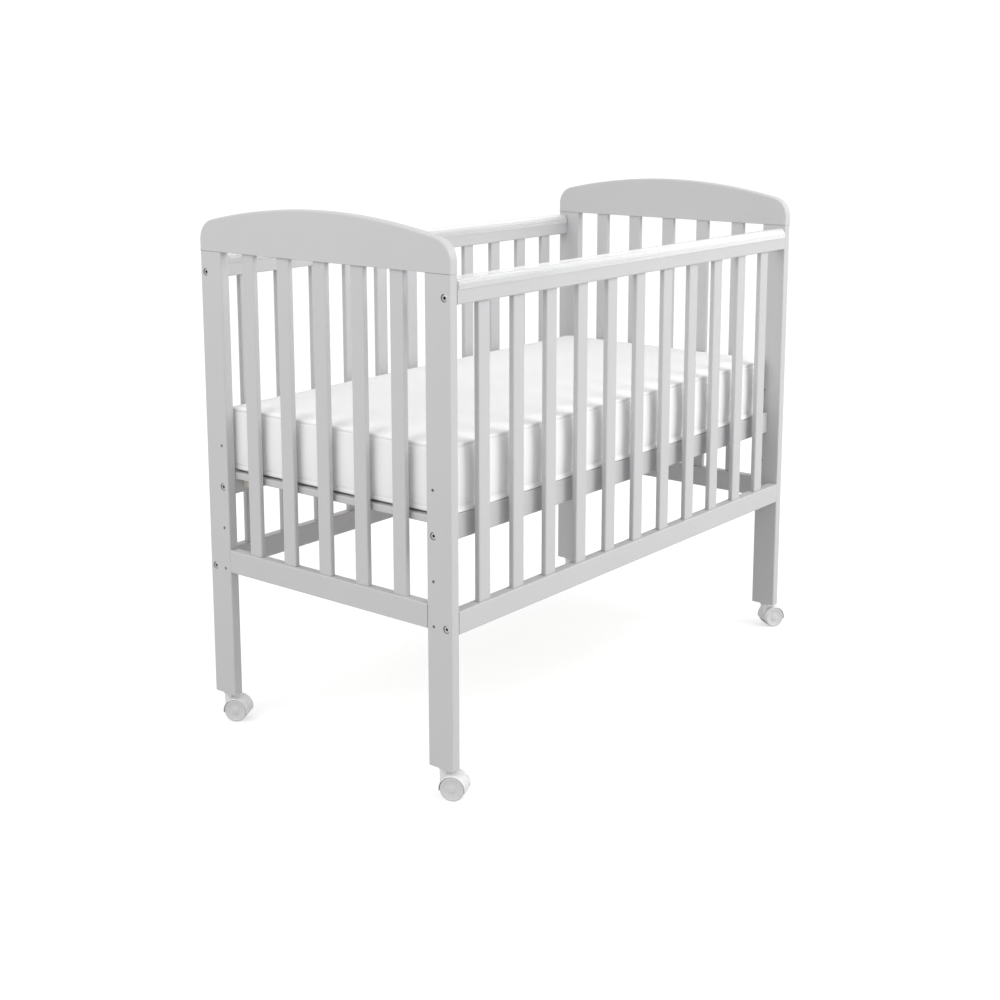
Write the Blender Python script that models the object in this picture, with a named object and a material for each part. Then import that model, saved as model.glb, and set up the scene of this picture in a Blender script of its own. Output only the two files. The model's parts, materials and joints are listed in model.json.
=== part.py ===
"""Baby crib on castors: two solid-topped end panels, two slatted sides, a bolted
mattress base at one of four heights, a loose mattress and four twin-wheel castors.

Metres, +Z up. X runs along the crib, the front side faces -Y, the castors stand on
z = 0, and the origin is the bottom centre of the whole object's bounding box.
"""

import math

import bmesh
import bpy
from mathutils import Matrix, Vector

# Overall sizes of the wooden frame
LENGTH = 1.040
WIDTH = 0.554
LEG_Z = 0.050  # underside of the legs, which is the castors' height
GAP = 0.0003  # between pieces that touch

# The castors swing out past the frame unevenly, so the frame stands off the origin by this
FRAME_X = -0.0118
FRAME_Y = 0.0075

# End panels; heights are above the underside of the legs
PANEL_T = 0.018
POST_W = 0.050
SEAM_Z = 0.785
BOARD_W = WIDTH + 0.002
BOARD_CREST_Z = 0.866
BOARD_ARCH_R = 1.167
BOARD_CORNER_R = 0.036
END_RAIL_Z = (0.2265, 0.267)
END_SLATS = 5
END_SLAT_PITCH = 0.083

# Sides
RAIL_T = 0.020
SIDE_BOTTOM_Z = (0.2215, 0.259)
SIDE_TOP_Z = (0.7385, 0.775)
SIDE_SLATS = 11
SIDE_SLAT_PITCH = 0.0865
SLAT_W = 0.0285
SLAT_T = 0.010
EDGE_R = 0.002
SLAT_EDGE_R = 0.0025
RAIL_TOP_R = 0.007

# Teething rail, a clear plastic cap over each side's top rail
CAP_HALF_W = 0.0122
CAP_LIP_Z = 0.761
CAP_SHOULDER_Z = 0.769
CAP_CREST_Z = 0.780
CAP_END_GAP = 0.0025

# Mattress base and mattress
BASE_RAIL_Y = 0.240
BASE_RAIL_Z = (0.3635, 0.405)
BASE_SLAT_T = 0.012
BASE_SLAT_TOP_Z = 0.4025  # a little below the top of the rails
BASE_BAR_W = 0.020
BASE_SLATS = 9
BASE_SLAT_W = 0.055
CLEAT_W = 0.018
CLEAT_H = 0.018
MATTRESS = (0.996, 0.500, 0.112)
MATTRESS_Z = 0.4055
MATTRESS_EDGE_R = 0.012

# Bolts and holes through the posts
SIDE_BOLT_Y = 0.2655
SIDE_BOLT_ZS = (0.2325, 0.7495)
HOLE_Y = 0.240
HOLE_LOWEST_Z = 0.232
HOLE_PITCH = 0.073
HOLE_COUNT = 4
BASE_HOLE = 2  # which of the four heights the base is bolted at, from the bottom
HOLE_R = 0.00275
HEAD_R = 0.0052
HEAD_T = 0.005
RECESS_R = 0.0065
HEAD_SINK = 0.0018  # how far a head lies below the face of its post
SOCKET_R = 0.0026
SOCKET_DEPTH = 0.0028
BOLT_REACH = 0.030  # how far a bolt goes into its rail
BOLT_SIDES = 16

# Castors
WHEEL_R = 0.020
WHEEL_SIDES = 28
WHEEL_FACE_Y = 0.0165
WHEEL_INNER_Y = 0.0042
AXLE_R = 0.0025
AXLE_HOLE_R = 0.0029
TRAIL = 0.016
HOOD_R = 0.0225
HOOD_HALF_W = 0.017
HOOD_WALL = 0.0017
HOOD_FOOT_Z = 0.016
WEB_HALF_T = 0.0032
COLLAR_R = 0.0078
COLLAR_TOP_Z = 0.0494
STEM_R = 0.0041
STEM_LEN = 0.032
BORE_R = 0.0045
BORE_DEPTH = 0.034
# Which way each castor trails, in degrees from +X
TRAIL_ANGLES = {
    "front_left": -65,
    "rear_left": -62,
    "front_right": -32,
    "rear_right": -50,
}

INNER_X = LENGTH / 2 - PANEL_T
POST_X = LENGTH / 2 - PANEL_T / 2
POST_Y = WIDTH / 2 - POST_W / 2
SIDE_Y = WIDTH / 2 - RAIL_T / 2
BASE_HOLE_Z = HOLE_LOWEST_Z + BASE_HOLE * HOLE_PITCH


# Scene and materials


def clear_scene():
    for obj in list(bpy.data.objects):
        bpy.data.objects.remove(obj, do_unlink=True)


def make_material(name, colour, roughness, alpha=1.0):
    material = bpy.data.materials.new(name)
    material.use_nodes = True
    shader = material.node_tree.nodes["Principled BSDF"]
    shader.inputs["Base Color"].default_value = (*colour, 1.0)
    shader.inputs["Roughness"].default_value = roughness
    shader.inputs["Alpha"].default_value = alpha
    return material


def add_frame_empty():
    """The point on the floor under the middle of the wooden frame. Everything is placed from it."""
    empty = bpy.data.objects.new("crib_frame", None)
    bpy.context.collection.objects.link(empty)
    empty.location = (FRAME_X, FRAME_Y, 0.0)
    return empty


# Mesh helpers


def add_object(name, bm, material, place, parent, smooth=False):
    """A named object from a bmesh that is drawn about its own origin."""
    bmesh.ops.recalc_face_normals(bm, faces=bm.faces)
    mesh = bpy.data.meshes.new(name)
    bm.to_mesh(mesh)
    bm.free()
    if material is not None:
        mesh.materials.append(material)
    if smooth:
        mesh.shade_smooth()
        mesh.set_sharp_from_angle(angle=math.radians(35))
    obj = bpy.data.objects.new(name, mesh)
    bpy.context.collection.objects.link(obj)
    obj.location = place
    obj.parent = parent
    return obj


def add_helper(name, bm, place, parent):
    """A shape that only Booleans use."""
    obj = add_object(name, bm, None, place, parent)
    obj.hide_render = True
    obj.display_type = "WIRE"
    return obj


def combine(obj, other, operation):
    modifier = obj.modifiers.new(f"{operation.lower()}_{other.name}", "BOOLEAN")
    modifier.operation = operation
    modifier.solver = "EXACT"
    modifier.object = other


def box_mesh(size):
    bm = bmesh.new()
    bmesh.ops.create_cube(bm, size=1.0, matrix=Matrix.Diagonal((*size, 1.0)))
    return bm


def long_edges(bm, axis):
    """The edges of a box that run along the given axis."""
    found = []
    for edge in bm.edges:
        along = edge.verts[1].co - edge.verts[0].co
        if abs(along[axis]) > 0.99 * along.length:
            found.append(edge)
    return found


def round_edges(bm, edges, radius, segments):
    bmesh.ops.bevel(
        bm, geom=edges, offset=radius, segments=segments, affect="EDGES", profile=0.5
    )


def bar_mesh(size, axis, radius, segments=2):
    """A timber of this size with its four long edges rounded."""
    bm = box_mesh(size)
    round_edges(bm, long_edges(bm, axis), radius, segments)
    return bm


def prism_mesh(outline, normal_axis, thickness):
    """A flat outline, given as pairs, made this thick about its own plane."""
    bm = bmesh.new()
    corners = []
    for u, v in outline:
        point = [u, v]
        point.insert(normal_axis, -thickness / 2)
        corners.append(bm.verts.new(point))
    face = bm.faces.new(corners)
    extruded = bmesh.ops.extrude_face_region(bm, geom=[face])
    moved = [item for item in extruded["geom"] if isinstance(item, bmesh.types.BMVert)]
    step = Vector((0.0, 0.0, 0.0))
    step[normal_axis] = thickness
    bmesh.ops.translate(bm, verts=moved, vec=step)
    return bm


def lathe_mesh(profile, axis, sides):
    """A closed solid of revolution. The profile is (along, radius) pairs, ending on the axis."""
    bm = bmesh.new()
    points = []
    for along, radius in profile:
        point = Vector((0.0, 0.0, 0.0))
        point[axis] = along
        point[(axis + 1) % 3] = radius
        points.append(bm.verts.new(point))
    edges = [bm.edges.new(pair) for pair in zip(points, points[1:])]
    turn = Vector((0.0, 0.0, 0.0))
    turn[axis] = 1.0
    bmesh.ops.spin(
        bm,
        geom=points + edges,
        axis=turn,
        cent=(0.0, 0.0, 0.0),
        steps=sides,
        angle=math.tau,
        use_merge=True,
    )
    bmesh.ops.remove_doubles(bm, verts=bm.verts, dist=1e-6)
    return bm


def shifted(bm, offset):
    bmesh.ops.translate(bm, verts=bm.verts, vec=offset)
    return bm


def merge_meshes(meshes):
    """One bmesh that holds several separate shapes."""
    whole = bmesh.new()
    for bm in meshes:
        part = bpy.data.meshes.new("part")
        bm.to_mesh(part)
        bm.free()
        whole.from_mesh(part)
        bpy.data.meshes.remove(part)
    return whole


def arc(centre, radius, start, end, steps):
    """Points on an arc, with angles in degrees."""
    points = []
    for step in range(steps + 1):
        angle = math.radians(start + (end - start) * step / steps)
        points.append(
            (centre[0] + radius * math.cos(angle), centre[1] + radius * math.sin(angle))
        )
    return points


def span(low_high):
    """Middle and length of a (low, high) pair."""
    low, high = low_high
    return (low + high) / 2, high - low


# End panels


def board_outline():
    """The arched top board, seen along X: a shallow arch that runs into two rounded corners."""
    half = BOARD_W / 2
    arch_centre_z = BOARD_CREST_Z - BOARD_ARCH_R
    corner_y = half - BOARD_CORNER_R
    corner_z = arch_centre_z + math.sqrt(
        (BOARD_ARCH_R - BOARD_CORNER_R) ** 2 - corner_y**2
    )
    meet = math.degrees(math.atan2(corner_z - arch_centre_z, corner_y))
    bottom = SEAM_Z + GAP
    outline = [(-half, bottom), (half, bottom)]
    outline += arc((corner_y, corner_z), BOARD_CORNER_R, 0, meet, 6)
    outline += arc((0, arch_centre_z), BOARD_ARCH_R, meet, 180 - meet, 16)[1:-1]
    outline += arc((-corner_y, corner_z), BOARD_CORNER_R, 180 - meet, 180, 6)
    return outline


def add_top_board(name, end, paint, frame):
    bm = prism_mesh(board_outline(), 0, PANEL_T)
    rim = [edge for edge in bm.edges if abs(edge.verts[0].co.x - edge.verts[1].co.x) < 1e-6]
    round_edges(bm, rim, EDGE_R, 2)
    add_object(name, bm, paint, (end * POST_X, 0, LEG_Z), frame, smooth=True)


def post_cutter_mesh(end):
    """Everything that is drilled out of a post: bolt holes with sunk heads, spare holes, castor bore."""
    drills = []
    depth = 2 * PANEL_T
    for level in range(HOLE_COUNT):
        z = HOLE_LOWEST_Z + level * HOLE_PITCH
        hole = lathe_mesh([(-depth, 0), (-depth, HOLE_R), (depth, HOLE_R), (depth, 0)], 0, 12)
        drills.append(shifted(hole, (0, HOLE_Y - POST_Y, z)))
    for z in SIDE_BOLT_ZS:
        drills.append(shifted(sunk_hole_mesh(end), (0, SIDE_BOLT_Y - POST_Y, z)))
    bore_end = BORE_DEPTH
    bore = [(-0.01, 0), (-0.01, BORE_R), (bore_end, BORE_R), (bore_end, 0)]
    drills.append(lathe_mesh(bore, 2, BOLT_SIDES))
    return merge_meshes(drills)


def sunk_hole_mesh(end):
    """A bolt's clearance hole with the recess for its head, drilled from the outer face."""
    floor = PANEL_T / 2 - HEAD_SINK - HEAD_T - GAP
    mouth = 2 * PANEL_T
    profile = [(-mouth, 0), (-mouth, HOLE_R), (floor, HOLE_R), (floor, RECESS_R)]
    profile += [(mouth, RECESS_R), (mouth, 0)]
    return lathe_mesh([(end * along, radius) for along, radius in profile], 0, BOLT_SIDES)


def base_recess_mesh(end):
    """The wider recess round the head of the base's bolt, at the height now in use."""
    floor = PANEL_T / 2 - HEAD_SINK - HEAD_T - GAP
    mouth = 2 * PANEL_T
    profile = [(floor, 0), (floor, RECESS_R), (mouth, RECESS_R), (mouth, 0)]
    return lathe_mesh([(end * along, radius) for along, radius in profile], 0, BOLT_SIDES)


def add_post(name, end, side, paint, frame):
    size = (PANEL_T, POST_W, SEAM_Z)
    bm = shifted(bar_mesh(size, 2, EDGE_R), (0, 0, SEAM_Z / 2))
    place = (end * POST_X, side * POST_Y, LEG_Z)
    post = add_object(name, bm, paint, place, frame)
    cutter = add_helper(f"{name}_drill", post_cutter_mesh(end), place, frame)
    recess = shifted(base_recess_mesh(end), (0, HOLE_Y - POST_Y, BASE_HOLE_Z))
    recess_cutter = add_helper(f"{name}_recess", recess, place, frame)
    if side < 0:
        # The drill pattern is laid out for the rear post, and the front one is its mirror image.
        for helper in (cutter, recess_cutter):
            helper.data.transform(Matrix.Scale(-1, 4, (0, 1, 0)))
            helper.data.flip_normals()
    combine(post, cutter, "DIFFERENCE")
    combine(post, recess_cutter, "DIFFERENCE")


def add_end_rail(name, end, paint, frame):
    middle, height = span(END_RAIL_Z)
    width = WIDTH - 2 * POST_W - 2 * GAP
    bm = bar_mesh((PANEL_T, width, height), 1, EDGE_R)
    add_object(name, bm, paint, (end * POST_X, 0, LEG_Z + middle), frame)


def add_end_slats(prefix, end, paint, frame):
    low, high = END_RAIL_Z[1] + GAP, SEAM_Z
    middle, height = span((low, high))
    for index in range(END_SLATS):
        y = (index - (END_SLATS - 1) / 2) * END_SLAT_PITCH
        bm = bar_mesh((SLAT_T, SLAT_W, height), 2, SLAT_EDGE_R)
        place = (end * POST_X, y, LEG_Z + middle)
        add_object(f"{prefix}_slat_{index + 1}", bm, paint, place, frame)


def add_end_panel(prefix, end, paint, frame):
    add_top_board(f"{prefix}_top_board", end, paint, frame)
    add_post(f"{prefix}_front_post", end, -1, paint, frame)
    add_post(f"{prefix}_rear_post", end, 1, paint, frame)
    add_end_rail(f"{prefix}_bottom_rail", end, paint, frame)
    add_end_slats(prefix, end, paint, frame)


# Sides


def bolt_mesh(end):
    """A socket-head bolt along X, from inside the rail's end out to its sunk head."""
    top = PANEL_T - HEAD_SINK
    under = top - HEAD_T
    shank = HOLE_R - GAP
    profile = [(-BOLT_REACH, 0), (-BOLT_REACH, shank), (under, shank), (under, HEAD_R)]
    profile += [(top - EDGE_R / 4, HEAD_R), (top, HEAD_R - EDGE_R / 4), (top, SOCKET_R)]
    profile += [(top - SOCKET_DEPTH, SOCKET_R), (top - SOCKET_DEPTH, 0)]
    return lathe_mesh([(end * along, radius) for along, radius in profile], 0, BOLT_SIDES)


def add_bolts(rail, offset_y, offset_z, frame):
    """Joins the bolt at each end to the rail that it is screwed into."""
    meshes = []
    for end in (-1, 1):
        meshes.append(shifted(bolt_mesh(end), (end * INNER_X, offset_y, offset_z)))
    bolts = add_helper(f"{rail.name}_bolts", merge_meshes(meshes), rail.location, frame)
    combine(rail, bolts, "UNION")


def rail_mesh(height, top_radius):
    """A side rail along X with small edges below and the given radius on top."""
    bm = box_mesh((2 * (INNER_X - GAP), RAIL_T, height))
    edges = long_edges(bm, 0)
    top = [edge for edge in edges if edge.verts[0].co.z > 0]
    bottom = [edge for edge in edges if edge.verts[0].co.z < 0]
    round_edges(bm, top, top_radius, 3)
    round_edges(bm, [edge for edge in bottom if edge.is_valid], EDGE_R, 2)
    return bm


def add_side_rail(name, side, z_range, bolt_z, top_radius, paint, frame):
    middle, height = span(z_range)
    place = (0, side * SIDE_Y, LEG_Z + middle)
    rail = add_object(name, rail_mesh(height, top_radius), paint, place, frame)
    add_bolts(rail, side * (SIDE_BOLT_Y - SIDE_Y), bolt_z - middle, frame)


def cap_outline():
    """The teething rail's section, seen along X: an inverted U that hugs the rounded top rail."""
    rise = CAP_CREST_Z - CAP_SHOULDER_Z
    outer = []
    for step in range(13):
        angle = math.radians(180 * step / 12)
        y = CAP_HALF_W * math.cos(angle)
        outer.append((y, CAP_SHOULDER_Z + rise * math.sin(angle) ** 0.75))
    inner_half = RAIL_T / 2 + GAP
    inner_top = SIDE_TOP_Z[1] + GAP
    corner = (inner_half - RAIL_TOP_R, inner_top - RAIL_TOP_R)
    left = arc((-corner[0], corner[1]), RAIL_TOP_R, 180, 90, 4)
    right = arc(corner, RAIL_TOP_R, 90, 0, 4)
    outline = [(CAP_HALF_W, CAP_LIP_Z)] + outer + [(-CAP_HALF_W, CAP_LIP_Z)]
    outline += [(-inner_half, CAP_LIP_Z)] + left + right + [(inner_half, CAP_LIP_Z)]
    return outline


def add_teething_rail(name, side, plastic, frame):
    length = 2 * (INNER_X - CAP_END_GAP)
    bm = prism_mesh(cap_outline(), 0, length)
    add_object(name, bm, plastic, (0, side * SIDE_Y, LEG_Z), frame, smooth=True)


def add_side_slats(prefix, side, paint, frame):
    middle, height = span((SIDE_BOTTOM_Z[1] + GAP, SIDE_TOP_Z[0] - GAP))
    for index in range(SIDE_SLATS):
        x = (index - (SIDE_SLATS - 1) / 2) * SIDE_SLAT_PITCH
        bm = bar_mesh((SLAT_W, SLAT_T, height), 2, SLAT_EDGE_R)
        place = (x, side * SIDE_Y, LEG_Z + middle)
        add_object(f"{prefix}_slat_{index + 1:02d}", bm, paint, place, frame)


def add_side(prefix, side, paint, plastic, frame):
    low_bolt, high_bolt = SIDE_BOLT_ZS
    top = f"{prefix}_top_rail"
    add_side_rail(top, side, SIDE_TOP_Z, high_bolt, RAIL_TOP_R, paint, frame)
    bottom = f"{prefix}_bottom_rail"
    add_side_rail(bottom, side, SIDE_BOTTOM_Z, low_bolt, EDGE_R, paint, frame)
    add_teething_rail(f"{prefix}_teething_rail", side, plastic, frame)
    add_side_slats(prefix, side, paint, frame)


# Mattress base


def add_base_rail(name, side, paint, frame):
    middle, height = span(BASE_RAIL_Z)
    bm = bar_mesh((2 * (INNER_X - GAP), RAIL_T, height), 0, EDGE_R)
    place = (0, side * BASE_RAIL_Y, LEG_Z + middle)
    rail = add_object(name, bm, paint, place, frame)
    add_bolts(rail, 0, BASE_HOLE_Z - middle, frame)


def base_inner_width():
    return 2 * (BASE_RAIL_Y - RAIL_T / 2 - GAP)


def add_base_end_bar(name, end, paint, frame):
    bm = bar_mesh((BASE_BAR_W, base_inner_width(), BASE_SLAT_T), 1, EDGE_R)
    x = end * (INNER_X - GAP - BASE_BAR_W / 2)
    z = LEG_Z + BASE_SLAT_TOP_Z - BASE_SLAT_T / 2
    add_object(name, bm, paint, (x, 0, z), frame)


def add_base_slats(name, wood, frame):
    """Bare cross slats on two cleats that run along the inside of the base rails."""
    length = 2 * (INNER_X - BASE_BAR_W - 2 * GAP)
    width = base_inner_width()
    sunk = GAP * 2
    cleat_y = (width - CLEAT_W) / 2
    cleats = []
    for side in (-1, 1):
        bm = box_mesh((length, CLEAT_W, CLEAT_H))
        cleats.append(shifted(bm, (0, side * cleat_y, -CLEAT_H / 2 + sunk)))
    slats = []
    pitch = (length - BASE_SLAT_W) / (BASE_SLATS - 1)
    for index in range(BASE_SLATS):
        x = (index - (BASE_SLATS - 1) / 2) * pitch
        bm = bar_mesh((BASE_SLAT_W - GAP, width - GAP, BASE_SLAT_T), 1, EDGE_R)
        slats.append(shifted(bm, (x, 0, BASE_SLAT_T / 2)))
    place = (0, 0, LEG_Z + BASE_SLAT_TOP_Z - BASE_SLAT_T)
    ladder = add_object(name, merge_meshes(slats), wood, place, frame)
    helper = add_helper(f"{name}_cleats", merge_meshes(cleats), place, frame)
    combine(ladder, helper, "UNION")


def add_mattress(name, fabric, frame):
    bm = box_mesh(MATTRESS)
    round_edges(bm, list(bm.edges), MATTRESS_EDGE_R, 3)
    place = (0, 0, LEG_Z + MATTRESS_Z + MATTRESS[2] / 2)
    add_object(name, bm, fabric, place, frame, smooth=True)


# Castors


def hood_mesh():
    """The drum that the hood is cut from, lying along Y about the axle."""
    edge = 0.001
    profile = [(-HOOD_HALF_W, 0), (-HOOD_HALF_W, HOOD_R - edge), (edge - HOOD_HALF_W, HOOD_R)]
    profile += [(-along, radius) for along, radius in reversed(profile)]
    return shifted(lathe_mesh(profile, 1, 32), (TRAIL, 0, WHEEL_R))


def stem_mesh():
    """The collar under the leg and the steel stem that turns in the leg's bore."""
    top = LEG_Z + STEM_LEN
    profile = [(WHEEL_R, 0), (WHEEL_R, COLLAR_R), (COLLAR_TOP_Z, COLLAR_R)]
    profile += [(COLLAR_TOP_Z, STEM_R), (top - STEM_R / 4, STEM_R)]
    profile += [(top, STEM_R * 0.75), (top, 0)]
    return lathe_mesh(profile, 2, BOLT_SIDES)


def wheel_wells_mesh():
    """The space for the two wheels, one on each side of the hood's middle web."""
    wells = []
    radius = HOOD_R - HOOD_WALL
    for side in (-1, 1):
        near, far = side * WEB_HALF_T, side * 2 * HOOD_HALF_W
        profile = [(near, 0), (near, radius), (far, radius), (far, 0)]
        wells.append(shifted(lathe_mesh(profile, 1, 32), (TRAIL, 0, WHEEL_R)))
    return merge_meshes(wells)


def foot_cut_mesh():
    """Removes the drum's lower part, so that only the hood over the wheels is left."""
    size = (6 * HOOD_R, 6 * HOOD_R, 2 * HOOD_FOOT_Z)
    return shifted(box_mesh(size), (TRAIL, 0, 0))


def axle_hole_mesh():
    reach = 2 * WEB_HALF_T
    profile = [(-reach, 0), (-reach, AXLE_HOLE_R), (reach, AXLE_HOLE_R), (reach, 0)]
    return shifted(lathe_mesh(profile, 1, 12), (TRAIL, 0, WHEEL_R))


def wheel_pair_mesh():
    """Two wheels on one axle along Y, each with a shallow dish in its outer face."""
    tread = 0.0012
    half = [(WHEEL_FACE_Y - 0.0006, 0), (WHEEL_FACE_Y - 0.0006, WHEEL_R * 0.72)]
    half += [(WHEEL_FACE_Y, WHEEL_R * 0.76), (WHEEL_FACE_Y, WHEEL_R - 2 * tread)]
    half += [(WHEEL_FACE_Y - tread, WHEEL_R), (WHEEL_INNER_Y + tread, WHEEL_R)]
    half += [(WHEEL_INNER_Y, WHEEL_R - tread), (WHEEL_INNER_Y, AXLE_R)]
    profile = [(-along, radius) for along, radius in half] + list(reversed(half))
    bm = lathe_mesh(profile, 1, WHEEL_SIDES)
    # A flat of the tread, not a corner, stands on the floor.
    turn = Matrix.Rotation(math.pi / WHEEL_SIDES, 4, "Y")
    bmesh.ops.transform(bm, matrix=turn, verts=bm.verts)
    flat = WHEEL_R * math.cos(math.pi / WHEEL_SIDES)
    bmesh.ops.scale(bm, vec=(WHEEL_R / flat, 1, WHEEL_R / flat), verts=bm.verts)
    return bm


def add_castor(corner, end, side, plastic, frame):
    """A hood that swivels about its stem, and a pair of wheels that spins in it."""
    hood = add_object(f"{corner}_castor_hood", hood_mesh(), plastic, (0, 0, 0), frame, smooth=True)
    hood.location = (end * POST_X, side * POST_Y, 0)
    hood.rotation_euler.z = math.radians(TRAIL_ANGLES[corner])
    here = (0, 0, 0)
    stem = add_helper(f"{corner}_castor_stem", stem_mesh(), here, hood)
    wells = add_helper(f"{corner}_castor_wells", wheel_wells_mesh(), here, hood)
    foot = add_helper(f"{corner}_castor_foot", foot_cut_mesh(), here, hood)
    axle = add_helper(f"{corner}_castor_axle", axle_hole_mesh(), here, hood)
    combine(hood, stem, "UNION")
    combine(hood, wells, "DIFFERENCE")
    combine(hood, foot, "DIFFERENCE")
    combine(hood, axle, "DIFFERENCE")
    wheels = f"{corner}_castor_wheels"
    add_object(wheels, wheel_pair_mesh(), plastic, (TRAIL, 0, WHEEL_R), hood, smooth=True)


def main():
    clear_scene()
    paint = make_material("grey_paint", (0.60, 0.60, 0.61), 0.42)
    plastic = make_material("white_plastic", (0.86, 0.86, 0.86), 0.30)
    clear = make_material("clear_plastic", (0.90, 0.91, 0.91), 0.12, alpha=0.40)
    wood = make_material("bare_pine", (0.62, 0.50, 0.34), 0.65)
    fabric = make_material("mattress_cover", (0.84, 0.84, 0.84), 0.90)
    frame = add_frame_empty()
    add_end_panel("left_end", -1, paint, frame)
    add_end_panel("right_end", 1, paint, frame)
    add_side("front", -1, paint, clear, frame)
    add_side("rear", 1, paint, clear, frame)
    add_base_rail("base_front_rail", -1, paint, frame)
    add_base_rail("base_rear_rail", 1, paint, frame)
    add_base_end_bar("base_left_bar", -1, paint, frame)
    add_base_end_bar("base_right_bar", 1, paint, frame)
    add_base_slats("base_slats", wood, frame)
    add_mattress("mattress", fabric, frame)
    for corner in TRAIL_ANGLES:
        end = -1 if corner.endswith("left") else 1
        side = -1 if corner.startswith("front") else 1
        add_castor(corner, end, side, plastic, frame)


main()
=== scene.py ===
"""Looks of the baby crib: smooth arched boards, moulded teething rails, castors, bolt heads and a
cloth-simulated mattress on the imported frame, with procedural materials, lights and the camera.

Metres, +Z up, in the row frame. Every mesh is built in place, so each object sits at the origin.
"""

import json
import math

import bmesh
import bpy
import numpy as np
from mathutils import Matrix, Vector, kdtree, noise


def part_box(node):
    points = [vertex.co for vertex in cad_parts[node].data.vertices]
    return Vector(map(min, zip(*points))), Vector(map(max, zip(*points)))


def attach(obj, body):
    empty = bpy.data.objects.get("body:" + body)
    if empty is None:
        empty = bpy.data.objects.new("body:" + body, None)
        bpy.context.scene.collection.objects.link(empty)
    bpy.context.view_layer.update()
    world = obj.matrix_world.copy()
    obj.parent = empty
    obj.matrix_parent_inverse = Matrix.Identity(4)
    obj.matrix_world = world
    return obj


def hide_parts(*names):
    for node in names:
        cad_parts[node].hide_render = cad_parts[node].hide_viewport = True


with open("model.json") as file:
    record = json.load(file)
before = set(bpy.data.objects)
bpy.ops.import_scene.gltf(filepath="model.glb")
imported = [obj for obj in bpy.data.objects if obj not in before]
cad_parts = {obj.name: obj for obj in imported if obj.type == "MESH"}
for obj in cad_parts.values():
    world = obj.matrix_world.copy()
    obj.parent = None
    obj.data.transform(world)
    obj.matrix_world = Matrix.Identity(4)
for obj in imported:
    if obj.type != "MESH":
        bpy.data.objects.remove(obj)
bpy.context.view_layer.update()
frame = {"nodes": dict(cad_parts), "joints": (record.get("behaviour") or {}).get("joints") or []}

# Faces that meet at more than this many degrees keep a hard edge
SHARP = 35
CAP_SHARP = 50

# Wooden frame, from its posts
LEFT_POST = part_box("left_end_front_post")
RIGHT_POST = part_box("right_end_rear_post")
LEG_Z = LEFT_POST[0].z
OUTER_LOW, OUTER_HIGH = LEFT_POST[0], RIGHT_POST[1]

# Arched boards
ARCH_R = 1.167
ARCH_CORNER_R = 0.036
ARCH_STEPS = 56
CORNER_STEPS = 12
RIM_R = 0.0028  # round on the edge of the arch
FOOT_R = 0.0009  # round where the board meets the posts
RIM_STEPS = 5
SUPPORT = 0.0015  # flat strip that keeps the shading of a face flat up to its round
FOOT_H = 0.004  # height over which the foot's small round widens to the rim's

# Bolts: distance of the side bolts from the post's outer edge, heights above the leg underside
SIDE_BOLT_IN = 0.0115
BASE_BOLT_IN = 0.037
SIDE_BOLT_ZS = {"low": 0.2325, "high": 0.7495}
BASE_BOLT_Z = 0.378
HEAD_SINK = 0.0014
HEAD_R = 0.0053
HEAD_DEPTH = 0.0048
HEAD_SIDES = 48
HEAD_PROFILE = (  # (height from its face, radius), from the back over the soft rim to the socket
    (-HEAD_DEPTH, HEAD_R),
    (-0.0007, HEAD_R),
    (-0.0002, HEAD_R - 0.0002),
    (0.0, HEAD_R - 0.0007),
    (0.0, HEAD_R - 0.0014),
    (0.0, 0.0033),
)
SOCKET_FLAT = 0.0021  # half the width across the flats
SOCKET_DEPTH = 0.0028
SOCKET_PROFILE = ((-0.0001, 0.0004), (-0.0006, 0.0), (-SOCKET_DEPTH, 0.0))  # (height, past the flats)
SOCKET_CORNER_R = SOCKET_FLAT * 1.16  # just past the socket's corners
SOCKET_SHADE_DEPTH = 0.0003  # how far the zinc reaches into the socket; the faces deeper down get painted shade

# Teething cap
CAP_DRAWN_H = 0.019  # height at which its outline is drawn
CAP_INNER_HALF_W = 0.0103
CAP_INNER_R = 0.007
CAP_INNER_TOP = 0.0143
CAP_INNER_STEPS = 8
CAP_END = ((0.0, 0.00055), (0.00015, 0.00028), (0.0004, 0.0001), (0.0009, 0.0))  # (along, inwards)

# Castors
HOOD_R = 0.0225
HOOD_HALF_W = 0.017
HOOD_WALL = 0.0017
HOOD_EDGE_R = 0.0014
HOOD_FOOT_Z = 0.016
WEB_HALF_T = 0.0032
COLLAR_R = 0.0078
COLLAR_TOP_Z = 0.0494
COLLAR_FLARE = (  # (down from its top, out past its radius)
    (0.0042, 0.0),
    (0.0026, 0.0004),
    (0.0014, 0.0012),
    (0.0004, 0.0014),
    (0.0, 0.0010),
)
STEM_R = 0.0041
STEM_TOP_Z = 0.082
STEM_TIP_R = STEM_R * 0.75
STEM_TIP_H = 0.001
AXLE_R = 0.0025
AXLE_HOLE_R = 0.0029
AXLE_HOLE_SIDES = 32
WHEEL_R = 0.020
WHEEL_FACE = 0.0165
WHEEL_DISH = (  # (in from the face, share of the wheel's radius), from the hub cap to the rim
    (0.0003, 0.14),
    (0.0003, 0.28),
    (0.0007, 0.31),
    (0.0008, 0.36),
    (0.0008, 0.76),
    (0.0003, 0.81),
    (0.0, 0.83),
)
WHEEL_INNER = 0.0042
WHEEL_INNER_EDGE = ((0.0012, 0.0), (0.0003, 0.0004), (0.0, 0.0012))  # (outwards, in from the tread)
TREAD_R = 0.0020  # round on the tread's outer shoulder
TREAD_STEPS = 5
ROUND_SIDES = 96

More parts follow.
